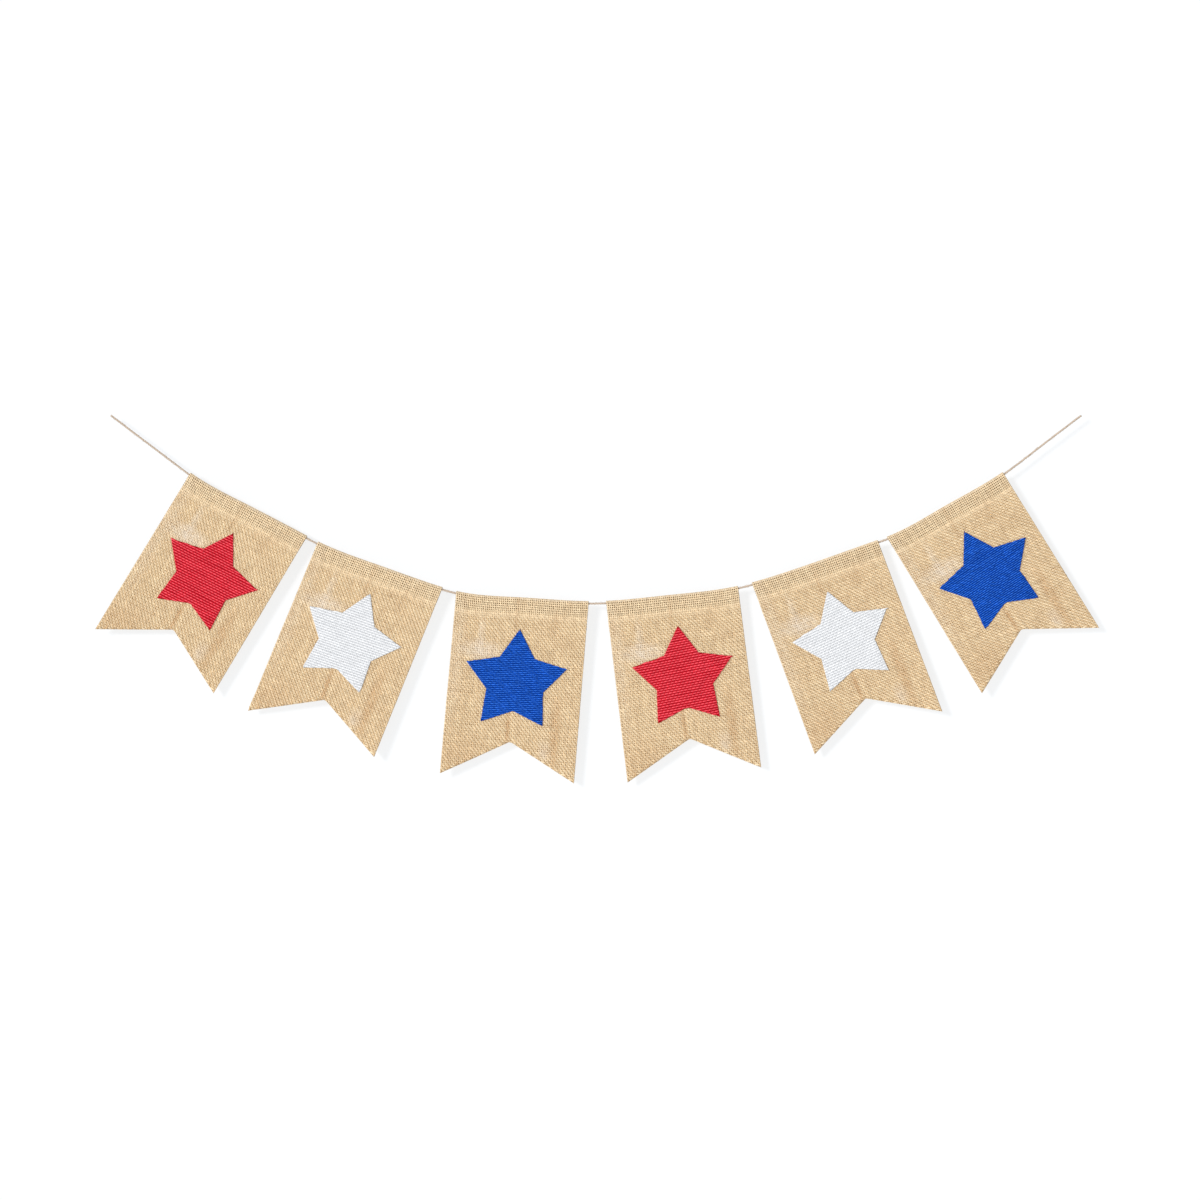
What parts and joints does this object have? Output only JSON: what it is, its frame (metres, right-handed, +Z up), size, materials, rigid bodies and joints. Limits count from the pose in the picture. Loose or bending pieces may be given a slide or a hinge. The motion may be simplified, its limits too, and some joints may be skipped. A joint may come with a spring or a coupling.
{
  "type": "fabric bunting",
  "caption": "Hanging burlap bunting: swallowtail pennants with coloured cloth stars, threaded by sewn top pockets on a jute twine whose two bare ends are tied up.",
  "frame": {"origin": "middle of the straight line between the twine's two ends, in the plane in which the bunting hangs", "axes": "+X along the span, from the left end to the right one as seen from the front; -Y is the front, where the stars are; +Z up"},
  "size_m": [0.9788, 0.0051, 0.3597],
  "materials": {
    "burlap": "open plain weave of undyed jute, matt",
    "red_cloth": "ribbed plain weave, matt",
    "white_cloth": "ribbed plain weave, matt",
    "blue_cloth": "ribbed plain weave, matt",
    "twine": "twisted jute, matt"
  },
  "bodies": {
    "root": {"twine": "twine", "pennant_1": "burlap", "pennant_2": "burlap", "pennant_3": "burlap", "pennant_4": "burlap", "pennant_5": "burlap", "pennant_6": "burlap", "star_1": "red_cloth", "star_2": "white_cloth", "star_3": "blue_cloth", "star_4": "red_cloth", "star_5": "white_cloth", "star_6": "blue_cloth"}
  },
  "joints": []
}
